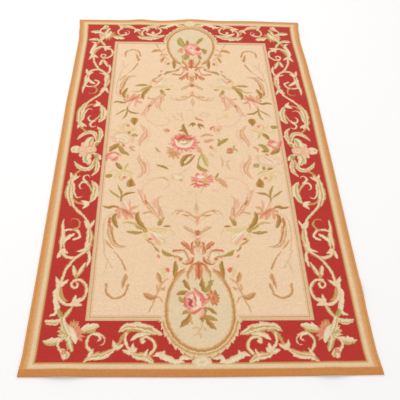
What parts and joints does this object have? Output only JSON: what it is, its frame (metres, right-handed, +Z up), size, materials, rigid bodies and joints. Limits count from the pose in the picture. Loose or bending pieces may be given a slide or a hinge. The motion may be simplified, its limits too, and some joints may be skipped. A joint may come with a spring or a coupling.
{
  "type": "oriental rug",
  "caption": "Flat-woven floral rug lying flat, with a scrolled border, oval medallions at both ends and gently rippled edges.",
  "frame": {"origin": "on the floor, under the middle of the rug's outline", "axes": "+Z up from the floor, +X across the rug's width, +Y along its length towards the far end in the picture"},
  "size_m": [0.9219, 1.534, 0.0093],
  "materials": {
    "wool": "matt flat-woven wool"
  },
  "bodies": {
    "root": {"rug": "wool"}
  },
  "joints": []
}
